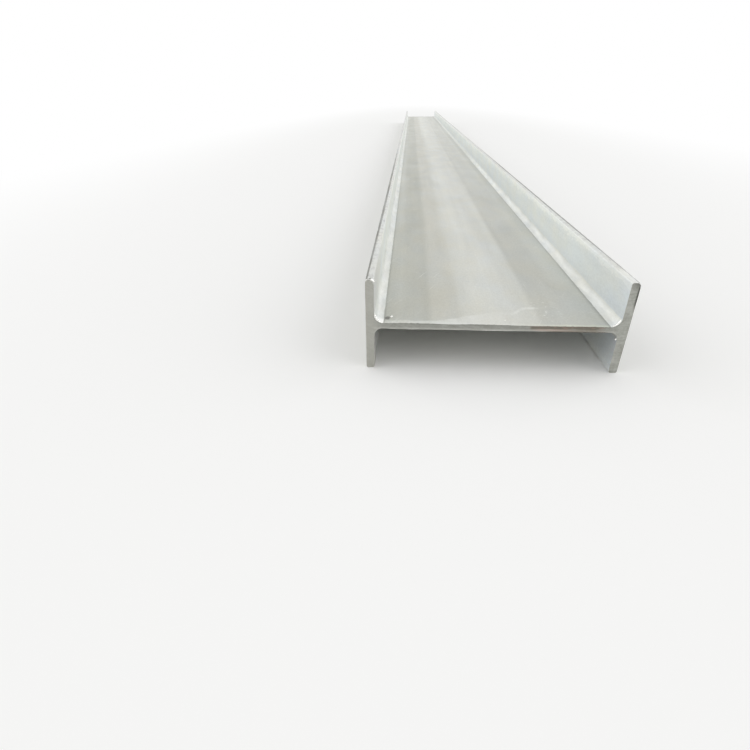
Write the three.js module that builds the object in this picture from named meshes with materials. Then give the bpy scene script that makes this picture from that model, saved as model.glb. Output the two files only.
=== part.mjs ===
// Hot-rolled steel H-beam, narrow-flange section 400 x 150 x 8 x 13, in a 7 m stock length.
//
// The bar is one piece of steel: two flanges of even thickness joined by a thinner web, with a
// concave root fillet where web and flange meet, flange toes that the rolls leave slightly
// rounded, and ends sawn square. It lies the way such beams are stacked, with the web level and
// the flanges upright, on the toes of both flanges.
//
// Units are millimetres. X runs across the bar from flange to flange, Y along it, and Z up.
// The origin is on the floor under the middle of the bar.

import * as THREE from 'three';

// Section, as a rolled-section table gives it.
const DEPTH = 400; // over the outer faces of the flanges
const FLANGE_WIDTH = 150; // from toe to toe
const WEB_THICKNESS = 8;
const FLANGE_THICKNESS = 13;
const ROOT_RADIUS = 13; // fillet between web and flange
const TOE_RADIUS = 3; // rounding on the long edges of the flanges

// Stock length, sawn at both ends.
const LENGTH = 7000;

// Flat facets along a quarter turn: they depart from a 13 mm arc by less than 0.03 mm.
const FACETS_PER_QUARTER = 12;
const QUARTER_TURN = Math.PI / 2;

const rolledSteel = new THREE.MeshStandardMaterial({
  color: 0xb7b9b3, // light warm grey of a clean mill surface
  roughness: 0.5,
  metalness: 0.8,
});

// The section is drawn in its own plane: x across the depth, y across the flange width, with
// the origin in the middle of the web. Each round corner is placed by the centre of its arc.
function rolledSection() {
  const innerFace = DEPTH / 2 - FLANGE_THICKNESS;
  const toeRadius = Math.min(TOE_RADIUS, FLANGE_THICKNESS / 2);

  const toeOuterX = DEPTH / 2 - toeRadius;
  const toeInnerX = innerFace + toeRadius;
  const toeY = FLANGE_WIDTH / 2 - toeRadius;
  const rootX = innerFace - ROOT_RADIUS;
  const rootY = WEB_THICKNESS / 2 + ROOT_RADIUS;

  const outline = new THREE.Shape();

  // A toe turns left through the given quadrant (0 is from +x to +y), and a root turns right.
  const toe = (x, y, quadrant) => {
    const start = quadrant * QUARTER_TURN;
    outline.absarc(x, y, toeRadius, start, start + QUARTER_TURN, false);
  };
  const root = (x, y, quadrant) => {
    const end = quadrant * QUARTER_TURN;
    outline.absarc(x, y, ROOT_RADIUS, end + QUARTER_TURN, end, true);
  };

  // Counter-clockwise from the lower outer toe of the right flange. Straight faces join the arcs.
  toe(toeOuterX, -toeY, 3);
  toe(toeOuterX, toeY, 0);
  toe(toeInnerX, toeY, 1);
  root(rootX, rootY, 3);
  root(-rootX, rootY, 2);
  toe(-toeInnerX, toeY, 0);
  toe(-toeOuterX, toeY, 1);
  toe(-toeOuterX, -toeY, 2);
  toe(-toeInnerX, -toeY, 3);
  root(-rootX, -rootY, 1);
  root(rootX, -rootY, 0);
  toe(toeInnerX, -toeY, 2);
  outline.closePath();

  return outline;
}

// The section is extruded along local +z, then stood up so that its plane is upright and the
// extrusion runs along the floor, towards -Y.
function hBeam() {
  const geometry = new THREE.ExtrudeGeometry(rolledSection(), {
    depth: LENGTH,
    bevelEnabled: false,
    curveSegments: FACETS_PER_QUARTER / 2, // three.js cuts an arc into twice this many
  });
  const beam = new THREE.Mesh(geometry, rolledSteel);
  beam.name = 'h_beam';
  beam.rotation.x = QUARTER_TURN;
  beam.position.set(0, LENGTH / 2, FLANGE_WIDTH / 2);
  return beam;
}

const part = new THREE.Group();
part.add(hBeam());

export default part;
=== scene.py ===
import math
import random

import bpy
from mathutils import Matrix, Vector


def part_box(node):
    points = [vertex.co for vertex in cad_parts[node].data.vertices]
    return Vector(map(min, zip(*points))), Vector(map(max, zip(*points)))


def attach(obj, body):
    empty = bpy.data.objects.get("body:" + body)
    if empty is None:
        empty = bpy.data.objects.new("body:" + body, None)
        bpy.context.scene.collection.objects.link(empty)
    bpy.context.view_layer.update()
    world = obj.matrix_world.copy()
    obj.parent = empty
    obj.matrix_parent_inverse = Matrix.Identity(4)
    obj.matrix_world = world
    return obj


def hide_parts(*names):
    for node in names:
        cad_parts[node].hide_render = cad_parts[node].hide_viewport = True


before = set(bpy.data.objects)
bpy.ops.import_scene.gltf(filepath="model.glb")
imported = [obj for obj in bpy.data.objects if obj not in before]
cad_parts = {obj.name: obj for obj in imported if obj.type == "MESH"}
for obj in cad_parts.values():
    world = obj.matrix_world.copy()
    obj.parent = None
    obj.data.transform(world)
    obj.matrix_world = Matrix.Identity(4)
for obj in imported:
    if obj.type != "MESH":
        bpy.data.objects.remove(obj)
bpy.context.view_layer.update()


# ---- The rolled bar ---------------------------------------------------------------------------
# One bar of structural steel, rolled red hot in one piece: two upright flanges and a thinner level
# web, joined by concave roots, with rounded toes, and sawn square at both ends. The section is
# swept along the bar, and the rolls leave it a few tenths of a millimetre out of true.

bar_low, bar_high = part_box("h_beam")
BAR_DEPTH = bar_high.x - bar_low.x
BAR_LENGTH = bar_high.y - bar_low.y
FLANGE_WIDTH = bar_high.z - bar_low.z
WEB_THICKNESS = 0.008
FLANGE_THICKNESS = 0.013
ROOT_RADIUS = 0.013
TOE_RADIUS = 0.003
RIM_HEIGHT = 0.0002  # the burr round a sawn end stands this much before its face

INNER_FACE = BAR_DEPTH / 2 - FLANGE_THICKNESS
WEB_LEVEL = (bar_low.z + bar_high.z) / 2
WEB_TOP = WEB_LEVEL + WEB_THICKNESS / 2
ROOT_START = INNER_FACE - ROOT_RADIUS  # how far from the middle the web begins to curve up
ROOT_RISE = WEB_THICKNESS / 2 + ROOT_RADIUS  # how far above the web's middle the curve ends

SECTION_INPUTS = {
    "Corners": "Geometry",
    "Root radius": "Float",
    "Toe radius": "Float",
    "Web level": "Float",
    "Web thickness": "Float",
    "Flat step": "Float",
}
SECTION_SIZES = {
    "Root radius": ROOT_RADIUS,
    "Toe radius": TOE_RADIUS,
    "Web level": WEB_LEVEL,
    "Web thickness": WEB_THICKNESS,
}


def add(tree, kind, inputs=(), **settings):
    """Adds a node with its settings. Its inputs come by name, or as a list in the order in which
    the node shows them. Each gets a value, or a link from a socket or a node's first output."""
    node = tree.nodes.new(kind)
    for name, value in settings.items():
        setattr(node, name, value)
    sockets = [socket for socket in node.inputs if socket.enabled]
    if isinstance(inputs, dict):
        sockets = [next(s for s in sockets if s.name == name) for name in inputs]
        inputs = inputs.values()
    for socket, value in zip(sockets, inputs):
        if isinstance(value, bpy.types.Node):
            value = next(s for s in value.outputs if s.enabled)
        if isinstance(value, bpy.types.NodeSocket):
            tree.links.new(value, socket)
        else:
            socket.default_value = value
    return node


def combined(tree, *masks):
    """Masks or shades multiplied together. Each is a node, a socket or a ramp: a value, the two
    levels of it between which the ramp runs, and what it gives at them, if that isn't 0 and 1."""
    product = None
    for mask in masks:
        if isinstance(mask, tuple):
            mask = add(tree, "ShaderNodeMapRange", mask)
        if product is not None:
            mask = add(tree, "ShaderNodeMath", [product, mask], operation="MULTIPLY")
        product = mask
    return product


def drawn_out(tree, place, across, along, detail, roughness=0.5, distortion=0.0):
    """Uneven patches, drawn out along the bar as the rolls draw the steel. Across and along say
    how many of them go in a metre each way, so that 50 makes them about 20 mm wide."""
    place = add(tree, "ShaderNodeVectorMath", [place, (across, along, across)],
                operation="MULTIPLY")
    return add(tree, "ShaderNodeTexNoise", {
        "Vector": place,
        "Scale": 1.0,
        "Detail": detail,
        "Roughness": roughness,
        "Distortion": distortion,
    })


def new_tree(name, inputs):
    """An empty Geometry Nodes tree with named inputs and one geometry output."""
    tree = bpy.data.node_groups.new(name, "GeometryNodeTree")
    for label, kind in inputs.items():
        tree.interface.new_socket(label, in_out="INPUT", socket_type="NodeSocket" + kind)
    tree.interface.new_socket("Geometry", in_out="OUTPUT", socket_type="NodeSocketGeometry")
    return tree, tree.nodes.new("NodeGroupInput").outputs, tree.nodes.new("NodeGroupOutput").inputs


def grow(name, tree, base, values):
    """Runs a tree on a base mesh and returns the result as a plain mesh object."""
    seed = bpy.data.objects.new(name + "_seed", base)
    bpy.context.scene.collection.objects.link(seed)
    modifier = seed.modifiers.new(name, "NODES")
    modifier.node_group = tree
    for item in tree.interface.items_tree:
        if item.name in values:
            modifier[item.identifier] = values[item.name]
    grown = seed.evaluated_get(bpy.context.evaluated_depsgraph_get())
    mesh = bpy.data.meshes.new_from_object(grown)
    mesh.name = name
    bpy.data.objects.remove(seed)
    piece = bpy.data.objects.new(name, mesh)
    bpy.context.scene.collection.objects.link(piece)
    return piece


def section_corners():
    """The twelve sharp corners of the section, upright in the XZ plane, as a closed line."""
    outer = BAR_DEPTH / 2
    high = FLANGE_WIDTH / 2
    web = WEB_THICKNESS / 2
    right = [(outer, -high), (outer, high), (INNER_FACE, high), (INNER_FACE, web)]
    left = [(-INNER_FACE, web), (-INNER_FACE, high), (-outer, high), (-outer, -high)]
    under = [(-INNER_FACE, -high), (-INNER_FACE, -web), (INNER_FACE, -web), (INNER_FACE, -high)]
    corners = [(x, 0, WEB_LEVEL + z) for x, z in right + left + under]
    sides = [(i, (i + 1) % len(corners)) for i in range(len(corners))]
    mesh = bpy.data.meshes.new("section_corners")
    mesh.from_pydata(corners, sides, [])
    return mesh


def rolled_section_tree():
    """The section as a closed curve: roots and toes rounded, flats divided, outward side kept."""
    tree, given, result = new_tree("rolled section", SECTION_INPUTS)
    # A corner is a root where it lies at the web, and a toe elsewhere.
    here = add(tree, "GeometryNodeInputPosition")
    level = add(tree, "ShaderNodeSeparateXYZ", [here]).outputs["Z"]
    is_root = add(tree, "FunctionNodeCompare", [level, given["Web level"], given["Web thickness"]],
                  operation="EQUAL")
    radius = add(tree, "GeometryNodeSwitch", [is_root, given["Toe radius"], given["Root radius"]],
                 input_type="FLOAT")
    toe_facets, root_facets = 5, 10
    facets = add(tree, "GeometryNodeSwitch", [is_root, toe_facets, root_facets], input_type="INT")
    line = add(tree, "GeometryNodeMeshToCurve", [given["Corners"]])
    rounded = add(tree, "GeometryNodeFilletCurve", {
        "Curve": line,
        "Count": facets,
        "Radius": radius,
    }, mode="POLY")
    # Each flat is cut into steps of about the wanted length.
    next_point = add(tree, "GeometryNodeOffsetPointInCurve", {"Offset": 1})
    there = add(tree, "GeometryNodeFieldAtIndex", {
        "Index": next_point.outputs["Point Index"],
        "Value": here,
    }, data_type="FLOAT_VECTOR")
    gap = add(tree, "ShaderNodeVectorMath", [here, there], operation="DISTANCE")
    cuts = add(tree, "ShaderNodeMath", [gap, given["Flat step"]], operation="DIVIDE")
    divided = add(tree, "GeometryNodeSubdivideCurve", {"Curve": rounded, "Cuts": cuts})
    # The outward side is the line's direction turned a quarter about Y.
    direction = add(tree, "GeometryNodeInputTangent")
    outward = add(tree, "ShaderNodeVectorMath", [(0, 1, 0), direction], operation="CROSS_PRODUCT")
    kept = add(tree, "GeometryNodeStoreNamedAttribute", {
        "Geometry": divided,
        "Name": "outward",
        "Value": outward,
    }, data_type="FLOAT_VECTOR", domain="POINT")
    tree.links.new(kept.outputs[0], result["Geometry"])
    return tree


def knocked_corners(tree):
    """How far the top corners of the near end are knocked in: one on the right, two on the left."""
    here = add(tree, "GeometryNodeInputPosition")
    full_depth_within = 0.001
    knock = 0.0
    for x, reach, depth in ((BAR_DEPTH / 2, 0.006, 0.0014), (-INNER_FACE, 0.007, 0.0026),
                            (-BAR_DEPTH / 2, 0.005, 0.0011)):
        corner = (x, -BAR_LENGTH / 2, WEB_LEVEL + FLANGE_WIDTH / 2)
        away = add(tree, "ShaderNodeVectorMath", [here, corner], operation="DISTANCE")
        dent = add(tree, "ShaderNodeMapRange", [away, reach, full_depth_within, 0.0, depth],
                   interpolation_type="SMOOTHSTEP")
        knock = add(tree, "ShaderNodeMath", [dent, knock], operation="ADD")
    return knock


def rolled_bar_tree(section_tree):
    """Sweeps the section along the bar and leaves it a little out of true, as the rolls do."""
    tree, given, result = new_tree("rolled bar", {
        **SECTION_INPUTS,
        "Length": "Float",
        "Stations": "Int",
        "Wave depth": "Float",
        "Nick depth": "Float",
        "Mill surface": "Material",
        "Sawn end": "Material",
    })
    section = add(tree, "GeometryNodeGroup", {label: given[label] for label in SECTION_INPUTS},
                  node_tree=section_tree)
    flat_section = add(tree, "GeometryNodeTransform", {
        "Geometry": section,
        "Rotation": (math.pi / 2, 0, 0),
    })

    # The stations run from -1 to 1 along the bar, and crowd towards both ends.
    crowding = 2.3  # 1 would space them evenly
    here = add(tree, "GeometryNodeInputPosition")
    rail = add(tree, "GeometryNodeCurvePrimitiveLine", {"Start": (0, -1, 0), "End": (0, 1, 0)})
    rail = add(tree, "GeometryNodeResampleCurve", {"Curve": rail, "Count": given["Stations"]})
    along = add(tree, "ShaderNodeSeparateXYZ", [here]).outputs["Y"]
    reach = add(tree, "ShaderNodeMath", [along], operation="ABSOLUTE")
    reach = add(tree, "ShaderNodeMath", [1.0, reach], operation="SUBTRACT", use_clamp=True)
    reach = add(tree, "ShaderNodeMath", [reach, crowding], operation="POWER")
    reach = add(tree, "ShaderNodeMath", [1.0, reach], operation="SUBTRACT")
    side = add(tree, "ShaderNodeMath", [along], operation="SIGN")
    half = add(tree, "ShaderNodeMath", [given["Length"], 0.5], operation="MULTIPLY")
    station = add(tree, "ShaderNodeCombineXYZ", {"Y": combined(tree, reach, side, half)})
    rail = add(tree, "GeometryNodeSetPosition", {"Geometry": rail, "Position": station})
    bar = add(tree, "GeometryNodeCurveToMesh", {
        "Curve": rail,
        "Profile Curve": flat_section,
        "Fill Caps": True,
    })
    bar = add(tree, "GeometryNodeFlipFaces", {"Mesh": bar})  # the sweep leaves them facing in

    # Long shallow waves all over, up to the wave depth, always inwards. The least depth keeps
    # the bar inside its box where numbers are rounded.
    least_depth = 0.000001
    wave = drawn_out(tree, here, 9.0, 1.6, 2.0)
    wave = add(tree, "ShaderNodeMapRange", [wave, 0.4, 0.8, least_depth, given["Wave depth"]])

    # Nicks and dents of handling along the flange toes.
    level = add(tree, "ShaderNodeSeparateXYZ", [here]).outputs["Z"]
    height = add(tree, "ShaderNodeMath", [level, given["Web level"]], operation="SUBTRACT")
    height = add(tree, "ShaderNodeMath", [height], operation="ABSOLUTE")
    nick = drawn_out(tree, here, 160.0, 75.0, 2.0)
    nick = combined(tree, (nick, 0.56, 0.78, 0.0, given["Nick depth"]),
                    (height, FLANGE_WIDTH / 2 - 2.5 * TOE_RADIUS, FLANGE_WIDTH / 2 - TOE_RADIUS))
    inset = add(tree, "ShaderNodeMath", [wave, nick], operation="ADD")
    inset = add(tree, "ShaderNodeMath", [inset, knocked_corners(tree)], operation="ADD")
    inset = add(tree, "ShaderNodeMath", [inset, -1.0], operation="MULTIPLY")
    outward = add(tree, "GeometryNodeInputNamedAttribute", {"Name": "outward"},
                  data_type="FLOAT_VECTOR")
    offset = add(tree, "ShaderNodeVectorMath", [outward, inset], operation="SCALE")
    bar = add(tree, "GeometryNodeSetPosition", {"Geometry": bar, "Offset": offset})

    # The sawn ends meet the rolled skin in a sharp edge, and everything else shades smoothly. A
    # face is an end where it looks along the bar, to within about 45 degrees.
    sharpest_smooth_edge = math.radians(50)
    along_the_bar = 0.7
    bar = add(tree, "GeometryNodeSetShadeSmooth", {"Geometry": bar, "Shade Smooth": True})
    angle = add(tree, "GeometryNodeInputMeshEdgeAngle")
    crease = add(tree, "FunctionNodeCompare", [angle, sharpest_smooth_edge],
                 operation="GREATER_THAN")
    bar = add(tree, "GeometryNodeSetShadeSmooth", {
        "Geometry": bar,
        "Selection": crease,
        "Shade Smooth": False,
    }, domain="EDGE")
    normal = add(tree, "GeometryNodeInputNormal")
    facing = add(tree, "ShaderNodeSeparateXYZ", [normal]).outputs["Y"]
    facing = add(tree, "ShaderNodeMath", [facing], operation="ABSOLUTE")
    is_end = add(tree, "FunctionNodeCompare", [facing, along_the_bar], operation="GREATER_THAN")
    bar = add(tree, "GeometryNodeRealizeInstances", {"Geometry": bar})
    for selection, label in ((True, "Mill surface"), (is_end, "Sawn end")):
        bar = add(tree, "GeometryNodeSetMaterial", {
            "Geometry": bar,
            "Selection": selection,
            "Material": given[label],
        })
    tree.links.new(bar.outputs[0], result["Geometry"])
    return tree


def colour(hex_value):
    """An sRGB hex value as the linear colour that a shader takes."""
    channels = [int(hex_value[i:i + 2], 16) / 255 for i in (1, 3, 5)]
    linear = [c / 12.92 if c <= 0.04045 else ((c + 0.055) / 1.055) ** 2.4 for c in channels]
    return (*linear, 1.0)


def coat(tree, under, over, *masks):
    """Lays one colour over another, as far as all the masks together let it."""
    under, over = (colour(c) if isinstance(c, str) else c for c in (under, over))
    return add(tree, "ShaderNodeMix", [combined(tree, *masks), under, over], data_type="RGBA")


def from_spot(tree, place, spot, squash):
    """How far each place is from a spot, with lengths along the bar counted shorter by squash."""
    place = add(tree, "ShaderNodeVectorMath", [place, (1.0, squash, 1.0)], operation="MULTIPLY")
    spot = (spot[0], squash * spot[1], spot[2])
    return add(tree, "ShaderNodeVectorMath", [place, spot], operation="DISTANCE")


def new_material(name):
    """An empty material and its tree."""
    material = bpy.data.materials.new(name)
    material.use_nodes = True
    material.node_tree.nodes.clear()
    return material, material.node_tree


def places_on_piece(tree):
    """Where each point of a surface lies on its piece: as one socket, and as x, y and z."""
    place = add(tree, "ShaderNodeTexCoord").outputs["Object"]
    return place, *add(tree, "ShaderNodeSeparateXYZ", [place]).outputs


def hot_rolled_mill_surface():
    """Hot-rolled steel under its thin grey oxide, as the rolls leave it: satin, half way between
    bare metal and stone. Broad bands run along the web, the roots and toes are rubbed brighter,
    with painted highlights on the roots and a painted sheen on the flanges' inner faces, and
    faint streaks, water marks, scratches and scuffs lie over everything."""
    material, tree = new_material("hot_rolled_mill_surface")
    # Sizes are in metres: x from the middle to the right, y along the bar from the near cut at
    # -3.5, height from the middle of the web up or down.
    place, x, y, z = places_on_piece(tree)
    across = add(tree, "ShaderNodeMath", [x], operation="ABSOLUTE")
    on_right = add(tree, "ShaderNodeMath", [x, 0.0], operation="GREATER_THAN")
    on_left = add(tree, "ShaderNodeMath", [x, 0.0], operation="LESS_THAN")
    height = add(tree, "ShaderNodeMath", [z, WEB_LEVEL], operation="SUBTRACT")
    height = add(tree, "ShaderNodeMath", [height], operation="ABSOLUTE")
    along = add(tree, "ShaderNodeMath", [y], operation="ABSOLUTE")
    to_cut = add(tree, "ShaderNodeMath", [BAR_LENGTH / 2, along], operation="SUBTRACT")

    # Bands of the web, with a painted shade line at each root. They wander by a few millimetres.
    off_roots = add(tree, "ShaderNodeMapRange", [across, 0.16, 0.15])
    wander = add(tree, "ShaderNodeTexNoise", [y, 1.3, 5.0], noise_dimensions="1D")
    wander = combined(tree, (wander, 0.0, 1.0, -0.006, 0.006), off_roots)
    wander = add(tree, "ShaderNodeMath", [x, wander], operation="ADD")
    wander = add(tree, "ShaderNodeMapRange", [wander, -BAR_DEPTH / 2, BAR_DEPTH / 2])
    bands = add(tree, "ShaderNodeValToRGB", [wander])
    stops = [(-180, "#B0B1AA"), (-175, "#ABACA6"), (-172, "#B2B3AC"), (-167, "#B8B9B1"),
             (-150, "#BCBDB5"), (-104, "#B6B7AF"), (-94, "#C0C0B8"), (-54, "#C3C3BB"),
             (-40, "#CACBC5"), (-18, "#D1D2CC"), (35, "#CBCCC7"), (67, "#C9CAC4"),
             (77, "#BABBB5"), (110, "#BCBDB7"), (150, "#C1C2BC"), (167, "#BEBFB9"),
             (171, "#B4B5AF"), (174, "#ACADA8"), (180, "#B0B1AB")]
    for millimetres, hex_value in stops:
        stop = bands.color_ramp.elements.new(0.5 + millimetres / 1000 / BAR_DEPTH)
        stop.color = colour(hex_value)
    bands.color_ramp.elements.remove(bands.color_ramp.elements[0])
    bands.color_ramp.elements.remove(bands.color_ramp.elements[-1])

    # The dark band on the right fades out about a metre and a half in from the near end. Between
    # it and the root the web is paler, but not by the cut.
    bands = coat(tree, bands, "#C7C8C2", (y, -2.9, -1.2, 0.0, 0.7), (x, 0.066, 0.08), off_roots)
    bands = coat(tree, bands, "#D2D3CD", (x, 0.125, 0.15), (y, -3.46, -3.15, 0.0, 0.5))

    # The dark band on the left is deepest from half a metre to two metres in.
    bands = coat(tree, bands, "#AFB0A7", (y, -3.4, -2.8, 0.0, 0.55), (x, -0.086, -0.098),
                 (x, -0.158, -0.13), (y, -1.1, -1.9))

    # The painted shade lines at the roots fade out over the first metre and a half.
    rootward = add(tree, "ShaderNodeMath", [1.0, off_roots], operation="SUBTRACT")
    bands = coat(tree, bands, "#C5C6C0", (y, -3.4, -2.0, 0.0, 0.85), rootward)

    # A pale strip runs along each cut, 15 mm wide on the left and 6 to 10 mm elsewhere, on the lip
    # that the saw has raised: paler steel with a painted highlight, a little yellower to the right.
    uneven = add(tree, "ShaderNodeTexNoise", [place, 45.0, 4.0])
    strip = add(tree, "ShaderNodeMath", [uneven, 0.012, to_cut], operation="MULTIPLY_ADD")
    wider = add(tree, "ShaderNodeMapRange", [x, -0.05, -0.09, 0.0, 0.006])
    strip = add(tree, "ShaderNodeMath", [strip, wider], operation="SUBTRACT")
    lip_and_highlight_tone = coat(tree, "#D5D6D0", "#CED0C3", (x, 0.03, 0.07))
    bands = coat(tree, bands, lip_and_highlight_tone, (strip, 0.017, 0.011, 0.0, 0.85))

    # The flanges' inner faces carry a painted sheen that makes them paler, palest towards the
    # toes, with a ragged border.
    on_flange = combined(tree, (across, INNER_FACE - 0.0015, INNER_FACE - 0.0008),
                         (across, BAR_DEPTH / 2 - 0.001, BAR_DEPTH / 2 - 0.004))
    chafed = drawn_out(tree, place, 50.0, 16.0, 7.0, 0.65)
    ragged = drawn_out(tree, place, 140.0, 55.0, 6.0)
    border = add(tree, "ShaderNodeMath", [chafed, 0.02, height], operation="MULTIPLY_ADD")
    border = add(tree, "ShaderNodeMath", [ragged, 0.03, border], operation="MULTIPLY_ADD")
    border = add(tree, "ShaderNodeMapRange", [border, 0.0875, 0.0905])
    rise = add(tree, "ShaderNodeMath", [chafed, 0.07, height], operation="MULTIPLY_ADD")
    palest_left = add(tree, "ShaderNodeMapRange", [x, 0.1, -0.1, 0.0, 0.35])
    rise = add(tree, "ShaderNodeMapRange", [rise, 0.083, 0.105, palest_left, 0.55])
    rise = add(tree, "ShaderNodeMath", [rise, border], operation="MAXIMUM")
    flange_tone = coat(tree, "#E9EDEC", "#F8FAF7", rise)
    # Painted shade, a little cool, lies low on the right one, towards its root.
    root_shade_share = add(tree, "ShaderNodeMapRange", [x, -0.1, 0.1, 0.0, 0.9])
    flange_tone = coat(tree, flange_tone, "#E2E7E9", (height, 0.040, 0.018, 0.0, root_shade_share))
    # The saw's smoke has dulled them by the cuts, most on the left, and is bluish on the right.
    smoke_tone = coat(tree, "#CFCECC", "#BCC4D0", (x, -0.1, 0.1))
    flange_tone = coat(tree, flange_tone, smoke_tone, (to_cut, 0.26, 0.03),
                       (x, 0.1, -0.1, 0.28, 0.74))
    skin = coat(tree, bands, flange_tone, on_flange)

    # The toes are dulled and chafed in patches, and darker towards their outer side. The saw has
    # brushed the right one pale by the cuts.
    worn = add(tree, "ShaderNodeMapRange", [ragged, 0.5, 0.58, 0.0, 0.45])
    outer_side = add(tree, "ShaderNodeMapRange", [across, INNER_FACE + 0.006, BAR_DEPTH / 2,
                                                  0.0, 0.45])
    worn = add(tree, "ShaderNodeMath", [worn, outer_side], operation="ADD", use_clamp=True)
    brushed = combined(tree, (to_cut, 0.08, 0.045, 0.0, 0.8), on_right)
    toe_tone = coat(tree, "#D7D8D5", "#B6B6B4", worn)
    toe_tone = coat(tree, toe_tone, "#E6E7E4", brushed)
    on_toe = add(tree, "ShaderNodeMapRange", [height, FLANGE_WIDTH / 2 - 0.8 * TOE_RADIUS,
                                              FLANGE_WIDTH / 2 - 0.3 * TOE_RADIUS])
    skin = coat(tree, skin, toe_tone, on_toe)

    # A broken dark line runs along the outer arris of each toe. It is wider from half a metre in,
    # and fades out by two metres in.
    widening = add(tree, "ShaderNodeMapRange", [y, -3.45, -3.0, 0.0042, 0.0068])
    arris = add(tree, "ShaderNodeMath", [across, widening], operation="ADD")
    gaps = drawn_out(tree, place, 60.0, 7.0, 5.0)
    skin = coat(tree, skin, "#6D6E67", (arris, BAR_DEPTH / 2, BAR_DEPTH / 2 + 0.0012), on_toe,
                (y, -1.6, -2.3, 0.1, 1.0), (brushed, 0.0, 1.0, 1.0, 0.45),
                (gaps, 0.35, 0.65, 0.6, 1.0))

    # Root fillets, rubbed bright by the edges of the rolls and painted with the highlight they
    # catch, with slightly ragged borders. The left ones are rubbed a little wider, and burnished
    # where the saw came through, with a painted highlight there.
    edge = add(tree, "ShaderNodeMapRange", [ragged, 0.3, 0.7, -0.0005, 0.0005])
    edge_across = add(tree, "ShaderNodeMath", [across, edge], operation="ADD")
    edge_across = add(tree, "ShaderNodeMath", [on_left, 0.0016, edge_across],
                      operation="MULTIPLY_ADD")
    edge_height = add(tree, "ShaderNodeMath", [height, edge], operation="ADD")
    root = combined(tree, (edge_across, ROOT_START, ROOT_START + 0.001),
                    (edge_height, ROOT_RISE - 0.0002, ROOT_RISE - 0.0012),
                    (across, INNER_FACE + 0.002, INNER_FACE + 0.001))
    rubbed = drawn_out(tree, place, 90.0, 18.0, 6.0)
    rubbed = add(tree, "ShaderNodeMapRange", [rubbed, 0.3, 0.7])
    burnished_highlight = combined(tree, (to_cut, 0.024, 0.012), on_left)
    root_tone = coat(tree, "#D6D8D5", "#ECEDEA", rubbed)
    root_tone = coat(tree, root_tone, "#FFFFFC", burnished_highlight)
    burnished_highlight = combined(tree, burnished_highlight, root)

    # A line of painted shade lies beside each, deepest near the end. From two metres in the
    # roots are rubbed less and their painted highlight is fainter, above all the right one.
    on_level = add(tree, "ShaderNodeMath", [across, INNER_FACE - 0.006], operation="LESS_THAN")
    skin = coat(tree, skin, "#8E8F89", (edge_across, ROOT_START - 0.0035, ROOT_START - 0.0012),
                (y, -3.2, -1.6, 0.6, 0.2), (rubbed, 0.0, 1.0, 0.3, 1.0), on_level)
    fainter_roots = add(tree, "ShaderNodeMapRange", [x, -0.1, 0.1, 0.75, 0.4])
    skin = coat(tree, skin, root_tone, root, (y, -1.75, -1.15, 1.0, fainter_roots))

    # Lengthwise streaks about 20 mm wide, cloudy water marks, a mottle of a few millimetres, and
    # flecks of oxide about 2 mm wide that the rolls have drawn out. The far half of the web is a
    # shade paler, a painted sheen of light glancing off it, and the flanges are a shade duller from
    # a metre in, the right one most.
    streak = drawn_out(tree, place, 55.0, 1.4, 5.0, 0.45)
    cloud = drawn_out(tree, place, 15.0, 5.0, 7.0, distortion=0.5)
    mottle = add(tree, "ShaderNodeTexNoise", [place, 150.0, 6.0, 0.6])
    fleck = drawn_out(tree, place, 420.0, 130.0, 4.0, 0.6)
    far_web_sheen = add(tree, "ShaderNodeMapRange", [on_flange, 0.0, 1.0, 1.085, 0.98])
    duller = add(tree, "ShaderNodeMapRange", [x, -0.1, 0.1, 1.0, 0.975])
    duller = add(tree, "ShaderNodeMapRange", [y, -2.8, -2.3, 1.022, duller])
    duller = add(tree, "ShaderNodeMix", [on_flange, 1.0, duller])
    tone = combined(tree, (streak, 0.25, 0.75, 0.965, 1.03), (y, -1.3, 0.9, 1.0, far_web_sheen),
                    duller, (cloud, 0.25, 0.75, 0.95, 1.04), (mottle, 0.25, 0.75, 0.965, 1.03),
                    (fleck, 0.25, 0.75, 0.95, 1.05))
    # Patches a hand wide turn slightly cool or warm.
    tint = drawn_out(tree, place, 22.0, 11.0, 4.0)
    tint = coat(tree, (0.985, 1.0, 1.015, 1.0), (1.01, 1.0, 0.965, 1.0), (tint, 0.35, 0.65))
    for shade in (tone, tint):
        skin = add(tree, "ShaderNodeMix", [1.0, skin, shade], data_type="RGBA",
                   blend_type="MULTIPLY")

    # Scratches of handling, straight and thin: the peaks of a noise stretched along one line.
    # Those along the bar are everywhere, and the slanting ones only on the web.
    on_web = add(tree, "ShaderNodeMath", [across, ROOT_START], operation="LESS_THAN")
    scratched = 0.0
    for degrees, thin, long, room in ((0, 520.0, 5.0, 1.0), (24, 600.0, 13.0, on_web),
                                      (-61, 600.0, 18.0, on_web)):
        turned = add(tree, "ShaderNodeVectorRotate", {
            "Vector": place,
            "Angle": math.radians(degrees),
        }, rotation_type="Z_AXIS")
        patch = add(tree, "ShaderNodeTexNoise", [turned, 8.0, 3.0])
        scratch = drawn_out(tree, turned, thin, long, 1.0)
        scratch = combined(tree, (scratch, 0.68, 0.76), (patch, 0.5, 0.62, 0.0, 0.6), room)
        scratched = add(tree, "ShaderNodeMath", [scratch, scratched], operation="MAXIMUM")

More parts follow.
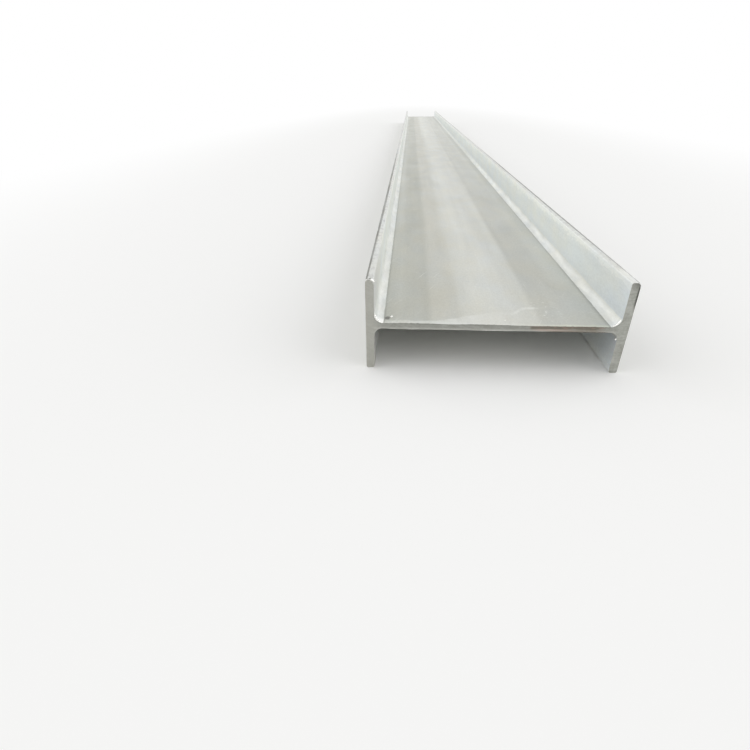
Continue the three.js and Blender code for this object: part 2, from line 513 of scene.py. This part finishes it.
    # A pale scuff on top of the web, where a sling has chafed it: it reaches from the near cut
    # to a bent line, which is brightest towards the right, and ends in a few chips.
    scuff_reach = 0.1
    scuff_x = add(tree, "ShaderNodeMapRange", [x, -0.1, 0.1])
    scuff_line = add(tree, "ShaderNodeFloatCurve", {"Value": scuff_x})
    scuff_curve = scuff_line.mapping.curves[0]
    scuff_curve.points[0].location = (0.0, 0.12)
    scuff_curve.points[1].location = (1.0, 0.75)
    for position in ((0.16, 0.23), (0.37, 0.40), (0.54, 0.48), (0.66, 0.47), (0.78, 0.68)):
        scuff_curve.points.new(*position)
    scuff_line.mapping.update()
    from_cut = add(tree, "ShaderNodeMath", [y, BAR_LENGTH / 2], operation="ADD")
    beyond = add(tree, "ShaderNodeMath", [scuff_line, -scuff_reach, from_cut],
                 operation="MULTIPLY_ADD")
    bend = add(tree, "ShaderNodeTexNoise", [x, 60.0, 3.0], noise_dimensions="1D")
    bend = add(tree, "ShaderNodeMapRange", [bend, 0.3, 0.7, -0.002, 0.002])
    beyond = add(tree, "ShaderNodeMath", [beyond, bend], operation="ADD")
    crest = add(tree, "ShaderNodeMath", [beyond], operation="ABSOLUTE")
    crest = combined(tree, (crest, 0.008, 0.001, 0.0, 0.85), (x, 0.0, 0.05))
    scuff = combined(tree, (beyond, 0.002, -0.003), (x, -0.04, 0.03, 0.75, 0.1))
    scuff = add(tree, "ShaderNodeMath", [scuff, crest], operation="MAXIMUM")
    thin_spots = add(tree, "ShaderNodeMath", [fleck, rubbed], operation="ADD")
    scuff = combined(tree, scuff, (x, -0.10, -0.085), (x, 0.084, 0.072),
                     (thin_spots, 0.6, 1.2, 0.5, 1.0))
    chips = add(tree, "ShaderNodeTexVoronoi", [place, 120.0])
    chips = add(tree, "ShaderNodeMath", [fleck, 0.9, chips], operation="MULTIPLY_ADD")
    from_chips = from_spot(tree, place, (0.09, -3.435, WEB_LEVEL), 0.45)
    chips = combined(tree, (chips, 0.76, 0.6, 0.0, 0.65), (from_chips, 0.029, 0.014))
    scuff = add(tree, "ShaderNodeMath", [scuff, chips], operation="MAXIMUM")
    above_web = add(tree, "ShaderNodeMath", [z, WEB_LEVEL], operation="GREATER_THAN")
    scuff = combined(tree, scuff, above_web)
    scratched = add(tree, "ShaderNodeMath", [scuff, scratched], operation="MAXIMUM")
    skin = coat(tree, skin, "#DCDDD8", scratched)

    # Two dark spots by the near cut, one beside the left root, next to a bead, and one on the left
    # toe.
    for spot, size in (((-0.1668, -3.4778, 0.079), 0.0068), ((-0.1930, -3.4945, 0.15), 0.005)):
        dark_spot = from_spot(tree, place, spot, 0.6)
        dark_spot = add(tree, "ShaderNodeMath", [mottle, 0.004, dark_spot], operation="MULTIPLY_ADD")
        skin = coat(tree, skin, "#6A6963", (dark_spot, size, size - 0.002, 0.0, 0.85))

    # Rust freckles a millimetre or two across, thickest on the toes and by the cuts.
    freckle = add(tree, "ShaderNodeTexVoronoi", [place, 90.0])
    damp = add(tree, "ShaderNodeTexNoise", [place, 8.0, 4.0])
    near_cut = add(tree, "ShaderNodeMapRange", [to_cut, 0.25, 0.0, 0.0, 0.09])
    near_toe = add(tree, "ShaderNodeMapRange", [height, 0.068, 0.074, 0.0, 0.08])
    for damper in (near_cut, near_toe):
        damp = add(tree, "ShaderNodeMath", [damp, damper], operation="ADD")
    skin = coat(tree, skin, "#8C6F57", (freckle, 0.13, 0.05), (damp, 0.60, 0.74, 0.0, 0.45))

    # In relief: oxide grain about a millimetre across, drawing lines from the rolls, the mottle
    # and the flecks, and the scratches, which are sunk. Where it is burnished it shines more.
    grain = add(tree, "ShaderNodeTexNoise", [place, 700.0, 3.0])
    lines = drawn_out(tree, place, 500.0, 9.0, 2.0)
    relief = add(tree, "ShaderNodeMath", [grain, lines], operation="ADD")
    for pattern, share in ((mottle, 2.0), (fleck, 1.5), (scratched, -1.5)):
        relief = add(tree, "ShaderNodeMath", [pattern, share, relief], operation="MULTIPLY_ADD")
    bump = add(tree, "ShaderNodeBump", {"Height": relief, "Distance": 0.00008, "Strength": 1.0})
    gloss = add(tree, "ShaderNodeMath", [cloud, fleck], operation="ADD")
    gloss = add(tree, "ShaderNodeMapRange", [gloss, 0.6, 1.4, 0.53, 0.36])
    gloss = add(tree, "ShaderNodeMath", [burnished_highlight, -0.2, gloss], operation="MULTIPLY_ADD")
    steel = add(tree, "ShaderNodeBsdfPrincipled", {
        "Base Color": skin,
        "Metallic": add(tree, "ShaderNodeMapRange", [burnished_highlight, 0.0, 1.0, 0.45, 0.85]),
        "Roughness": gloss,
        "Normal": bump,
    })
    add(tree, "ShaderNodeOutputMaterial", {"Surface": steel})
    return material


def friction_sawn_steel():
    """Steel cut by a large friction saw: closer to bare metal than the rolled skin, and darker,
    partly in its own finish and partly as painted shade, since an upright face catches less
    light from above; combed by shallow arcs of the blade, with a breath of fresh rust where water
    stood."""
    material, tree = new_material("friction_sawn_steel")
    place, x, _, z = places_on_piece(tree)
    across = add(tree, "ShaderNodeMath", [x], operation="ABSOLUTE")
    height = add(tree, "ShaderNodeMath", [z, WEB_LEVEL], operation="SUBTRACT")

    # Marks of a blade 1.2 m across, whose axle stood above the bar. The real ones are about
    # 0.4 mm apart; these are drawn 1.5 mm apart, so that they show. They fade in and out, and
    # coarser grooves of about 4 mm and specks of 3 mm lie among them.
    axle = (0.11, 0.0, 0.66)
    arc_spacing = 0.0015
    blade = add(tree, "ShaderNodeVectorMath", [place, axle], operation="SUBTRACT")
    blade = add(tree, "ShaderNodeVectorMath", [blade, (1.0, 0.0, 1.0)], operation="MULTIPLY")
    blade = add(tree, "ShaderNodeVectorMath", [blade], operation="LENGTH")
    blur = add(tree, "ShaderNodeTexNoise", [place, 60.0, 4.0])
    phase = add(tree, "ShaderNodeMath", [blade, 2 * math.pi / arc_spacing], operation="MULTIPLY")
    phase = add(tree, "ShaderNodeMath", [blur, 7.0, phase], operation="MULTIPLY_ADD")
    combed = combined(tree, add(tree, "ShaderNodeMath", [phase], operation="SINE"), blur)
    tone = add(tree, "ShaderNodeMath", [combed, 0.22, blur], operation="MULTIPLY_ADD")
    grooves = add(tree, "ShaderNodeMath", [blur, 0.003, blade], operation="MULTIPLY_ADD")
    grooves = add(tree, "ShaderNodeTexNoise", [grooves, 240.0, 4.0, 0.6], noise_dimensions="1D")
    speckle = add(tree, "ShaderNodeTexNoise", [place, 330.0, 3.0])
    grooves = add(tree, "ShaderNodeMath", [grooves, speckle], operation="ADD")
    tone = add(tree, "ShaderNodeMath", [grooves, 0.8, tone], operation="MULTIPLY_ADD")
    tone = add(tree, "ShaderNodeMath", [tone, 0.8], operation="SUBTRACT")
    # These greys sit below the rolled skin's partly as painted shade of the upright end.
    skin = coat(tree, "#96978F", "#B6B7B1", (tone, 0.2, 0.8))

    # The left flange is a shade warmer, and a shade paler: painted light against the shade it gets
    # near the floor.
    skin = coat(tree, skin, "#B0AFA7", (x, -0.17, -0.19, 0.0, 0.65))

    # The blade ran hotter through the thin web, which is duller; its lower arris has a painted
    # highlight.
    web_tone = coat(tree, "#C4C4BE", "#7B7B75", (height, -0.0028, -0.0012))
    on_web = add(tree, "ShaderNodeMapRange", [across, 0.189, 0.174])
    on_web = add(tree, "ShaderNodeMath", [on_web, 0.3], operation="MULTIPLY")
    skin = coat(tree, skin, web_tone, on_web)

    # Fresh rust along the right half of the web, and thin specks of it elsewhere.
    dry = add(tree, "ShaderNodeMapRange", [x, 0.175, 0.15])
    wet = combined(tree, (x, 0.05, 0.059, 0.0, 0.5), (height, -0.003, 0.001), dry)
    stain = add(tree, "ShaderNodeTexNoise", [place, 38.0, 6.0])
    stain = add(tree, "ShaderNodeMath", [stain, wet], operation="ADD")
    rust = add(tree, "ShaderNodeTexNoise", [place, 90.0, 3.0])
    rust = add(tree, "ShaderNodeMath", [height, 60.0, rust], operation="MULTIPLY_ADD")
    rust = coat(tree, "#6A6458", "#937A6C", (rust, 0.58, 0.82))
    skin = coat(tree, skin, rust, (stain, 0.64, 0.88, 0.0, 0.8))

    # Below it the steel has only turned pinkish brown, and darker from there on.
    low_tone = coat(tree, "#BBA89D", "#857A6D", (x, 0.09, 0.125))
    skin = coat(tree, skin, low_tone, (height, 0.0004, -0.001, 0.0, 0.6), (x, 0.052, 0.068), dry)

    # A dark line runs down the outer arris of the right flange's upper half, and the corner above
    # it is darker.
    corner = (0.2, -BAR_LENGTH / 2, 0.152)
    scale = combined(tree, (x, 0.1964, 0.1986), (height, 0.028, 0.045, 0.0, 0.95))
    darker_corner = add(tree, "ShaderNodeVectorMath", [place, corner], operation="DISTANCE")
    darker_corner = add(tree, "ShaderNodeMapRange", [darker_corner, 0.02, 0.005, 0.0, 0.55])
    scale = add(tree, "ShaderNodeMath", [scale, darker_corner], operation="MAXIMUM")
    skin = coat(tree, skin, "#484944", scale)
    steel = add(tree, "ShaderNodeBsdfPrincipled", {
        "Base Color": skin,
        "Metallic": 0.6,
        "Roughness": 0.45,
        "Normal": add(tree, "ShaderNodeBump", {"Height": combed, "Distance": 0.00006}),
    })
    add(tree, "ShaderNodeOutputMaterial", {"Surface": steel})
    return material


section_tree = rolled_section_tree()
bar = grow("rolled_bar", rolled_bar_tree(section_tree), section_corners(), {
    **SECTION_SIZES,
    "Flat step": 0.006,
    "Length": BAR_LENGTH - 2 * RIM_HEIGHT,
    "Stations": 261,
    "Wave depth": 0.0003,
    "Nick depth": 0.0008,
    "Mill surface": hot_rolled_mill_surface(),
    "Sawn end": friction_sawn_steel(),
})
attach(bar, "root")
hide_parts("h_beam")


# ---- Saw burr ---------------------------------------------------------------------------------
# The ragged lip that a friction saw drags out of the steel round each cut, hardly there on the
# flanges and thicker along the web, where the steel is thin and ran hot. It is swept round the
# section with a thickness that comes and goes.

def crumpled(tree, given, piece, size, scale, detail):
    """A piece crumpled by up to half its own size, in as many lumps to the metre as the scale
    says, flattened where it would leave the bar's box, and given its steel."""
    here = add(tree, "GeometryNodeInputPosition")
    push = add(tree, "ShaderNodeTexNoise", [here, scale, detail]).outputs["Color"]
    push = add(tree, "ShaderNodeVectorMath", [push, (0.5, 0.5, 0.5)], operation="SUBTRACT")
    push = add(tree, "ShaderNodeVectorMath", [push, size], operation="SCALE")
    piece = add(tree, "GeometryNodeSetPosition", {"Geometry": piece, "Offset": push})
    kept = add(tree, "ShaderNodeVectorMath", [here, given["Lowest corner"]], operation="MAXIMUM")
    kept = add(tree, "ShaderNodeVectorMath", [kept, given["Highest corner"]], operation="MINIMUM")
    piece = add(tree, "GeometryNodeSetPosition", {"Geometry": piece, "Position": kept})
    piece = add(tree, "GeometryNodeSetShadeSmooth", {"Geometry": piece, "Shade Smooth": True})
    piece = add(tree, "GeometryNodeRealizeInstances", {"Geometry": piece})
    return add(tree, "GeometryNodeSetMaterial", {"Geometry": piece, "Material": given["Steel"]})


def saw_burr_tree(section_tree):
    """A lip of uneven thickness round both ends of the section, kept inside the bar's box."""
    tree, given, result = new_tree("saw burr", {
        **SECTION_INPUTS,
        "Inner face": "Float",
        "Lowest corner": "Vector",
        "Highest corner": "Vector",
        "Steel": "Material",
    })
    section = add(tree, "GeometryNodeGroup", {label: given[label] for label in SECTION_INPUTS},
                  node_tree=section_tree)
    # One ring at each end of the box.
    rings = add(tree, "GeometryNodeJoinGeometry")
    for corner in ("Lowest corner", "Highest corner"):
        end = add(tree, "ShaderNodeVectorMath", [given[corner], (0, 1, 0)], operation="MULTIPLY")
        ring = add(tree, "GeometryNodeTransform", {"Geometry": section, "Translation": end})
        tree.links.new(ring.outputs[0], rings.inputs[0])
    # Thickness, in metres: least on toes and outer faces, most along the web.
    place = add(tree, "GeometryNodeInputPosition")
    x, y, z = add(tree, "ShaderNodeSeparateXYZ", [place]).outputs
    across = add(tree, "ShaderNodeMath", [x], operation="ABSOLUTE")
    inside = add(tree, "ShaderNodeMath", [given["Inner face"], 0.0002], operation="ADD")
    inside = add(tree, "ShaderNodeMath", [across, inside], operation="LESS_THAN")
    height = add(tree, "ShaderNodeMath", [z, given["Web level"]], operation="SUBTRACT")
    under_web = add(tree, "ShaderNodeMapRange", [height, -0.03, -0.006, 0.0, 0.0004])
    rightward = add(tree, "ShaderNodeMapRange", [x, 0.0, 0.05, 0.0007, 0.00035])
    on_web = add(tree, "ShaderNodeMapRange", [height, 0.014, 0.006, 0.0, rightward])
    is_above = add(tree, "FunctionNodeCompare", [height, 0.0], operation="GREATER_THAN")
    extra = add(tree, "GeometryNodeSwitch", [is_above, under_web, on_web], input_type="FLOAT")
    extra = add(tree, "ShaderNodeMath", [extra, 0.00006], operation="ADD")
    bead = add(tree, "ShaderNodeMath", [extra, inside, 0.00012], operation="MULTIPLY_ADD")
    # Two noises break it up: stretches of about 40 mm, and shreds of 4 mm within them.
    for scale, least, most in ((22.0, 0.6, 1.4), (230.0, 0.85, 1.15)):
        uneven = add(tree, "ShaderNodeTexNoise", [place, scale, 3.0])
        bead = combined(tree, bead, (uneven, 0.38, 0.65, least, most))
    rings = add(tree, "GeometryNodeStoreNamedAttribute", {
        "Geometry": rings,
        "Name": "bead",
        "Value": bead,
    }, data_type="FLOAT", domain="POINT")
    bead = add(tree, "GeometryNodeInputNamedAttribute", {"Name": "bead"}, data_type="FLOAT")
    outward = add(tree, "GeometryNodeInputNamedAttribute", {"Name": "outward"},
                  data_type="FLOAT_VECTOR")
    # The lip sits inside the flanges' outer faces and toes by its own thickness.
    push = combined(tree, (inside, 0.0, 1.0, -1.6, 0.4), bead)
    push = add(tree, "ShaderNodeMath", [push, knocked_corners(tree)], operation="SUBTRACT")
    push = add(tree, "ShaderNodeVectorMath", [outward, push], operation="SCALE")
    end_side = add(tree, "ShaderNodeMath", [y], operation="SIGN")
    drawn_in = combined(tree, (inside, 0.0, 1.0, -1.6, 0.0), bead, end_side)
    drawn_in = add(tree, "ShaderNodeCombineXYZ", {"Y": drawn_in})
    push = add(tree, "ShaderNodeVectorMath", [push, drawn_in], operation="ADD")
    rings = add(tree, "GeometryNodeSetPosition", {"Geometry": rings, "Offset": push})
    lip = add(tree, "GeometryNodeCurveToMesh", {
        "Curve": rings,
        "Profile Curve": add(tree, "GeometryNodeCurvePrimitiveCircle", {
            "Resolution": 7,
            "Radius": 1.0,
        }),
        "Scale": bead,
    })
    lip = crumpled(tree, given, lip, bead, scale=420.0, detail=2.0)
    tree.links.new(lip.outputs[0], result["Geometry"])
    return tree


def torn_steel():
    """Steel torn and burnt by the saw: grey and dull, with bright bare metal in places."""
    material, tree = new_material("torn_steel")
    place, x, _, z = places_on_piece(tree)
    bare = add(tree, "ShaderNodeTexNoise", [place, 45.0, 4.0])
    skin = coat(tree, "#A9AAA4", "#D6D7D2", (bare, 0.45, 0.65))
    # On top of the web it is as dull as the sawn face below it.
    skin = coat(tree, skin, "#90918A", (z, WEB_LEVEL + 0.0015, WEB_LEVEL + 0.003, 0.0, 0.9),
                (z, WEB_LEVEL + 0.016, WEB_LEVEL + 0.011))
    # Where the sawn web has rusted, to the right, so has its burr.
    skin = coat(tree, skin, "#6C6459", (x, 0.055, 0.09, 0.0, 0.9), (x, 0.178, 0.165))
    steel = add(tree, "ShaderNodeBsdfPrincipled", {
        "Base Color": skin,
        "Metallic": 0.7,
        "Roughness": 0.42,
    })
    add(tree, "ShaderNodeOutputMaterial", {"Surface": steel})
    return material


burr = grow("saw_burr", saw_burr_tree(section_tree), section_corners(), {
    **SECTION_SIZES,
    "Flat step": 0.0012,
    "Inner face": INNER_FACE,
    "Lowest corner": bar_low,
    "Highest corner": bar_high,
    "Steel": torn_steel(),
})
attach(burr, "root")


# ---- Saw spatter ------------------------------------------------------------------------------
# Beads of molten steel that the saw has thrown and that have set on the skin near each cut: a few
# large ones on the arrises and roots, and a scatter of small ones on the web and fillets.

def bead_places():
    """The places of the beads as loose points with a radius each, from a fixed seed."""
    near = bar_low.y + RIM_HEIGHT
    root_centre = WEB_TOP + ROOT_RADIUS
    # The largest as x, y, z and radius: three on the left toe, one on the web beside the left
    # root, one under the right root and one in the middle of the web.
    beads = [
        (-0.1972, near + 0.0020, 0.1481, 0.0019),
        (-0.1900, near + 0.0026, 0.1482, 0.0021),
        (-0.1876, near + 0.0022, 0.1466, 0.0025),
        (-0.1607, near + 0.0262, WEB_TOP, 0.0022),
        (0.1858, near + 0.0022, 0.0590, 0.0022),
        (0.0180, near + 0.0200, WEB_TOP, 0.0012),
    ]
    # A run of beads along the cut edge of each upper root, each standing off the steel by some
    # of its own radius.
    stand_off = 0.6
    for side, degrees, radius in ((-1, 4, 0.0016), (-1, 17, 0.0022), (-1, 31, 0.0024),
                                  (-1, 46, 0.0021), (-1, 61, 0.0015), (-1, 76, 0.0010),
                                  (1, 12, 0.0015), (1, 22, 0.0018), (1, 32, 0.0020),
                                  (1, 42, 0.0018), (1, 51, 0.0019), (1, 61, 0.0016),
                                  (1, 72, 0.0012), (1, 82, 0.0008)):
        turn = math.radians(degrees)
        reach = ROOT_RADIUS - stand_off * radius
        beads.append((side * (ROOT_START + reach * math.cos(turn)), near + 0.0020,
                      root_centre - reach * math.sin(turn), radius))
    # Fine ones thrown up to 74 mm back from each cut: over and under the web, and on the roots.
    chance = random.Random(7)
    for end in (-1, 1):
        for number in range(34):
            back = 0.004 + 0.07 * chance.random() ** 2
            y = end * (BAR_LENGTH / 2 - back)
            radius = 0.0003 + 0.0005 * chance.random() ** 2
            x = chance.uniform(-0.172, 0.172)
            if number % 3:
                z = WEB_TOP if number % 3 == 1 else WEB_TOP - WEB_THICKNESS
                beads.append((x, y, z, radius))
            else:
                side = math.copysign(1, x)
                turn = math.radians(chance.uniform(5, 85))
                beads.append((side * (ROOT_START + ROOT_RADIUS * math.sin(turn)), y,
                              root_centre - ROOT_RADIUS * math.cos(turn), radius))
    mesh = bpy.data.meshes.new("bead_places")
    mesh.from_pydata([bead[:3] for bead in beads], [], [])
    radii = mesh.attributes.new("radius", "FLOAT", "POINT")
    for index, bead in enumerate(beads):
        radii.data[index].value = bead[3]
    return mesh


def spatter_tree():
    """A lumpy ball of its own radius on every point, kept inside the bar's box."""
    tree, given, result = new_tree("saw spatter", {
        "Places": "Geometry",
        "Lowest corner": "Vector",
        "Highest corner": "Vector",
        "Seed": "Int",
        "Steel": "Material",
    })
    radius = add(tree, "GeometryNodeInputNamedAttribute", {"Name": "radius"}, data_type="FLOAT")
    spin = add(tree, "FunctionNodeRandomValue", {
        "Min": (0, 0, 0),
        "Max": (math.tau, math.tau, math.tau),
        "Seed": given["Seed"],
    }, data_type="FLOAT_VECTOR")
    balls = add(tree, "GeometryNodeInstanceOnPoints", {
        "Points": given["Places"],
        "Instance": add(tree, "GeometryNodeMeshIcoSphere", {"Radius": 1.0, "Subdivisions": 3}),
        "Rotation": spin,
        "Scale": radius,
    })
    balls = add(tree, "GeometryNodeRealizeInstances", {"Geometry": balls})
    balls = crumpled(tree, given, balls, radius, scale=600.0, detail=1.0)
    tree.links.new(balls.outputs[0], result["Geometry"])
    return tree


def burnt_bead_steel():
    """Beads of steel that have melted and set: smooth, bright and nearly bare."""
    material, tree = new_material("burnt_bead_steel")
    steel = add(tree, "ShaderNodeBsdfPrincipled", {
        "Base Color": colour("#F1F1ED"),
        "Metallic": 0.9,
        "Roughness": 0.22,
    })
    add(tree, "ShaderNodeOutputMaterial", {"Surface": steel})
    return material


spatter = grow("saw_spatter", spatter_tree(), bead_places(), {
    "Lowest corner": bar_low,
    "Highest corner": bar_high,
    "Seed": 5,
    "Steel": burnt_bead_steel(),
})
spatter.data.materials.pop(index=0)  # an empty slot that the ball primitive brings along
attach(spatter, "root")


# ---- The floor --------------------------------------------------------------------------------
# A plain pale studio floor, matt, that takes the soft shadow under the bar and fades into the
# white of the room with distance.

def seen_directly(tree):
    """1 for rays that look at a thing, straight, in a reflection or through something clear."""
    rays = add(tree, "ShaderNodeLightPath").outputs
    seen = rays["Is Camera Ray"]
    for ray in ("Is Glossy Ray", "Is Transmission Ray"):
        seen = add(tree, "ShaderNodeMath", [seen, rays[ray]], operation="MAXIMUM")
    return seen


FLOOR_REACH = 60.0
FADE_START = 0.8
FADE_END = 2.5
FADE_SQUASH = BAR_DEPTH / BAR_LENGTH * 3  # lengths along the bar count less, as it is so long

corners = ((-1, -1), (1, -1), (1, 1), (-1, 1))
floor_mesh = bpy.data.meshes.new("studio_floor")
floor_mesh.from_pydata([(x * FLOOR_REACH, y * FLOOR_REACH, 0) for x, y in corners],
                       [], [(0, 1, 2, 3)])
floor = bpy.data.objects.new("studio_floor", floor_mesh)
bpy.context.scene.collection.objects.link(floor)
floor_material, tree = new_material("matt_studio_floor")
paint = add(tree, "ShaderNodeBsdfDiffuse", {"Color": colour("#F7F7F6")})
place = add(tree, "ShaderNodeTexCoord").outputs["Object"]
away = add(tree, "ShaderNodeVectorMath", [place, (1.0, FADE_SQUASH, 1.0)], operation="MULTIPLY")
away = add(tree, "ShaderNodeVectorMath", [away], operation="LENGTH")
away = add(tree, "ShaderNodeMapRange", [away, FADE_START, FADE_END],
           interpolation_type="SMOOTHSTEP")
fade = combined(tree, seen_directly(tree), away)
white = add(tree, "ShaderNodeEmission", {"Color": (1, 1, 1, 1), "Strength": 1.0})
fading = add(tree, "ShaderNodeMixShader", [fade, paint, white])
add(tree, "ShaderNodeOutputMaterial", {"Surface": fading})
floor_mesh.materials.append(floor_material)


# ---- Light ------------------------------------------------------------------------------------
# A white room, which lights the steel a little less than it shows, and two wide soft lamps, one
# high on either side of the bar.

ROOM_LIGHT = 0.65
ROOM_WHITE = 1.0
LAMP_TILT = math.radians(62)

world = bpy.data.worlds.new("white_room")
world.use_nodes = True
tree = world.node_tree
tree.nodes.clear()
strength = add(tree, "ShaderNodeMapRange", [seen_directly(tree), 0.0, 1.0, ROOM_LIGHT,
                                            ROOM_WHITE])
room = add(tree, "ShaderNodeBackground", {"Color": (1, 1, 1, 1), "Strength": strength})
add(tree, "ShaderNodeOutputWorld", {"Surface": room})
bpy.context.scene.world = world

for side, spin in (("left", -90), ("right", 90)):
    lamp = bpy.data.lights.new(side + "_soft_light", "SUN")
    lamp.energy = 1.1
    lamp.angle = math.radians(80)
    stand = bpy.data.objects.new(side + "_soft_light", lamp)
    stand.rotation_euler = (LAMP_TILT, 0, math.radians(spin))
    bpy.context.scene.collection.objects.link(stand)


# ---- Camera -----------------------------------------------------------------------------------
# It stands just before the near end, left of the middle and a little above the flanges, and
# looks down along the bar through a wide lens.

CAMERA_PLACE = (-0.1372, -4.1819, 0.3906)

camera_data = bpy.data.cameras.new("camera")
camera_data.sensor_width = 36
camera_data.sensor_fit = "HORIZONTAL"
camera_data.lens = 22.95
camera_data.clip_end = 200
camera = bpy.data.objects.new("camera", camera_data)
yaw = math.radians(-4.13)
pitch = math.radians(30.66)
roll = math.radians(0.68)
turn = (Matrix.Rotation(-yaw, 4, "Z") @ Matrix.Rotation(math.pi / 2 - pitch, 4, "X")
        @ Matrix.Rotation(-roll, 4, "Z"))
camera.matrix_world = Matrix.Translation(CAMERA_PLACE) @ turn
bpy.context.scene.collection.objects.link(camera)
bpy.context.scene.camera = camera
bpy.context.scene.view_settings.view_transform = "Standard"
